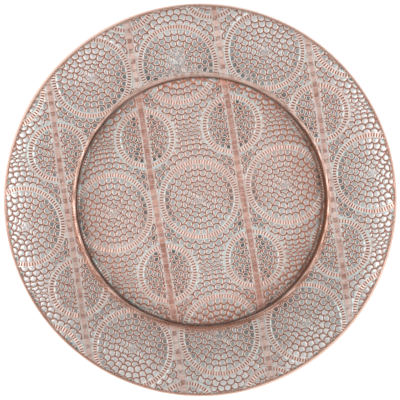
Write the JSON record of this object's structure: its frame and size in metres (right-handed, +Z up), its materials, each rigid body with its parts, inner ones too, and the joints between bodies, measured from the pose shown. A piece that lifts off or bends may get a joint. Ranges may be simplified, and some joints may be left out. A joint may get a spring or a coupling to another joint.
{
  "type": "hammered copper tray",
  "caption": "Round copper charger tray with a flat recessed well, a broad rim embossed with scales and circles, and an edge rolled over a wire.",
  "frame": {"origin": "centre of the flat underside that the tray stands on", "axes": "+Z up through the middle of the well, +Y towards the top of the picture, +X to its right"},
  "size_m": [0.33, 0.33, 0.0167],
  "materials": {
    "embossed_copper": "embossed copper sheet, pinkish copper on the raised lines and bands and pale grey patina on the scales between them",
    "wire_steel": "plain drawn steel wire, hidden in the rolled edge"
  },
  "bodies": {
    "root": {"tray_sheet": "embossed_copper", "rim_wire": "wire_steel"}
  },
  "joints": []
}
